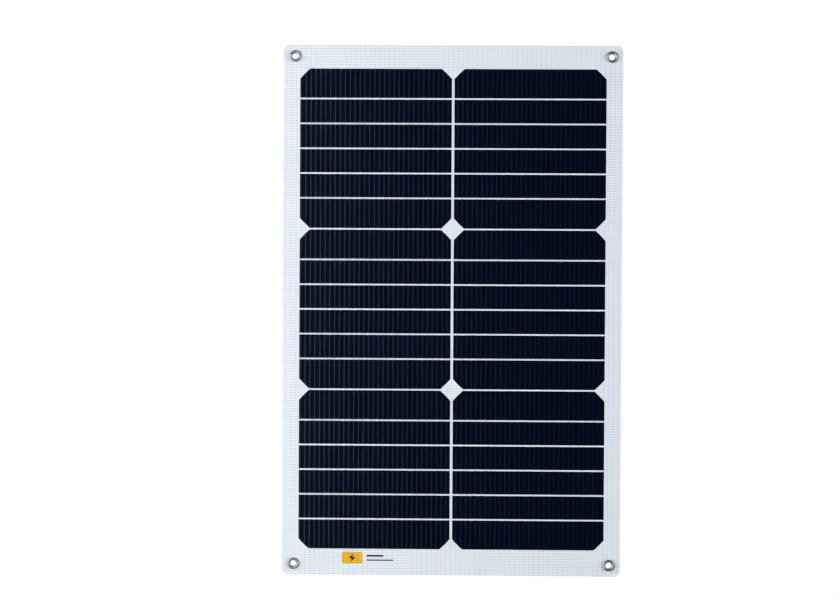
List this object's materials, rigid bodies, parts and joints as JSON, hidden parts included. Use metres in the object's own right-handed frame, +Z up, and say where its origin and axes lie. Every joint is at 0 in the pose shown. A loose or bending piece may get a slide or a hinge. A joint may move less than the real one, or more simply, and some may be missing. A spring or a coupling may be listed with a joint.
{
  "type": "flexible solar sheet",
  "caption": "Flexible solar sheet: dark cell strips under a clear embossed film on a white backing, with corner eyelets and a hinged junction box behind.",
  "frame": {"origin": "centre of the sheet's back face, which is glued or laid on the surface that carries the sheet", "axes": "+Z up the long side, +X to the right seen from the cell side, so that the cells face -Y and the back face and the junction box are on +Y"},
  "size_m": [0.279, 0.0192, 0.437],
  "materials": {
    "clear_sheet": "clear film with an embossed grid",
    "encapsulant": "cast resin film",
    "silicon": "polished, anti-reflection coated",
    "tinned_ribbon": "tin plated",
    "backing": "glass-reinforced, fine weave",
    "eyelet_steel": "polished stainless",
    "adhesive": "cured silicone",
    "box_plastic": "moulded, fine grain",
    "gland_nylon": "moulded, satin",
    "seal_rubber": "moulded",
    "pin_steel": "drawn",
    "diode_epoxy": "moulded epoxy"
  },
  "bodies": {
    "panel_1": {"front_sheet_1": "clear_sheet", "encapsulant_1": "encapsulant", "cells_1": "silicon", "cell_links_1": "tinned_ribbon", "back_sheet_1": "backing", "eyelets_top": "eyelet_steel", "eyelet_washers_top": "eyelet_steel", "box_adhesive": "adhesive", "box_base": "box_plastic", "lid_hinge_pin": "pin_steel", "gland_bodies": "gland_nylon", "gland_seals": "seal_rubber", "gland_nuts": "gland_nylon", "contact_rails": "tinned_ribbon", "bypass_diode": "diode_epoxy", "output_leads": "tinned_ribbon"},
    "panel_2": {"front_sheet_2": "clear_sheet", "encapsulant_2": "encapsulant", "cells_2": "silicon", "cell_links_2": "tinned_ribbon", "back_sheet_2": "backing"},
    "panel_3": {"front_sheet_3": "clear_sheet", "encapsulant_3": "encapsulant", "cells_3": "silicon", "cell_links_3": "tinned_ribbon", "back_sheet_3": "backing"},
    "panel_4": {"front_sheet_4": "clear_sheet", "encapsulant_4": "encapsulant", "cells_4": "silicon", "cell_links_4": "tinned_ribbon", "back_sheet_4": "backing"},
    "panel_5": {"front_sheet_5": "clear_sheet", "encapsulant_5": "encapsulant", "cells_5": "silicon", "cell_links_5": "tinned_ribbon", "back_sheet_5": "backing"},
    "panel_6": {"front_sheet_6": "clear_sheet", "encapsulant_6": "encapsulant", "cells_6": "silicon", "cell_links_6": "tinned_ribbon", "back_sheet_6": "backing"},
    "panel_7": {"front_sheet_7": "clear_sheet", "encapsulant_7": "encapsulant", "cells_7": "silicon", "cell_links_7": "tinned_ribbon", "back_sheet_7": "backing"},
    "panel_8": {"front_sheet_8": "clear_sheet", "encapsulant_8": "encapsulant", "cells_8": "silicon", "cell_links_8": "tinned_ribbon", "back_sheet_8": "backing"},
    "panel_9": {"front_sheet_9": "clear_sheet", "encapsulant_9": "encapsulant", "cells_9": "silicon", "cell_links_9": "tinned_ribbon", "back_sheet_9": "backing", "eyelets_bottom": "eyelet_steel", "eyelet_washers_bottom": "eyelet_steel"},
    "lid": {"box_lid": "box_plastic", "lid_seal": "seal_rubber"}
  },
  "joints": [
    {"name": "flex_1", "type": "hinge", "parent": "panel_2", "child": "panel_1", "pos_m": [0, -0.0013, 0.15402], "axis": [-1, 0, 0], "range_deg": [-2.13, 4.26], "stiffness_Nm_per_rad": 18.9},
    {"name": "flex_2", "type": "hinge", "parent": "panel_3", "child": "panel_2", "pos_m": [0, -0.0013, 0.11313], "axis": [-1, 0, 0], "range_deg": [-1.75, 3.5], "stiffness_Nm_per_rad": 23.1},
    {"name": "flex_3", "type": "hinge", "parent": "panel_4", "child": "panel_3", "pos_m": [0, -0.0013, 0.06732], "axis": [-1, 0, 0], "range_deg": [-1.85, 3.7], "stiffness_Nm_per_rad": 21.8},
    {"name": "flex_4", "type": "hinge", "parent": "panel_5", "child": "panel_4", "pos_m": [0, -0.0013, 0.02152], "axis": [-1, 0, 0], "range_deg": [-1.75, 3.5], "stiffness_Nm_per_rad": 23.1},
    {"name": "flex_5", "type": "hinge", "parent": "panel_5", "child": "panel_6", "pos_m": [0, -0.0013, -0.01937], "axis": [1, 0, 0], "range_deg": [-1.75, 3.5], "stiffness_Nm_per_rad": 23.1},
    {"name": "flex_6", "type": "hinge", "parent": "panel_6", "child": "panel_7", "pos_m": [0, -0.0013, -0.06517], "axis": [1, 0, 0], "range_deg": [-1.85, 3.7], "stiffness_Nm_per_rad": 21.8},
    {"name": "flex_7", "type": "hinge", "parent": "panel_7", "child": "panel_8", "pos_m": [0, -0.0013, -0.11098], "axis": [1, 0, 0], "range_deg": [-1.75, 3.5], "stiffness_Nm_per_rad": 23.1},
    {"name": "flex_8", "type": "hinge", "parent": "panel_8", "child": "panel_9", "pos_m": [0, -0.0013, -0.15188], "axis": [1, 0, 0], "range_deg": [-2.18, 4.35], "stiffness_Nm_per_rad": 18.6},
    {"name": "lid_hinge", "type": "hinge", "parent": "panel_1", "child": "lid", "pos_m": [0, 0.0134, 0.20922], "axis": [1, 0, 0], "range_deg": [0, 120]}
  ],
  "couplings": [
    {"joint": "flex_1", "follows": "flex_4", "ratio": 1.2183},
    {"joint": "flex_2", "follows": "flex_4", "ratio": 1},
    {"joint": "flex_3", "follows": "flex_4", "ratio": 1.0565},
    {"joint": "flex_5", "follows": "flex_4", "ratio": 1},
    {"joint": "flex_6", "follows": "flex_4", "ratio": 1.0565},
    {"joint": "flex_7", "follows": "flex_4", "ratio": 1},
    {"joint": "flex_8", "follows": "flex_4", "ratio": 1.2431}
  ]
}
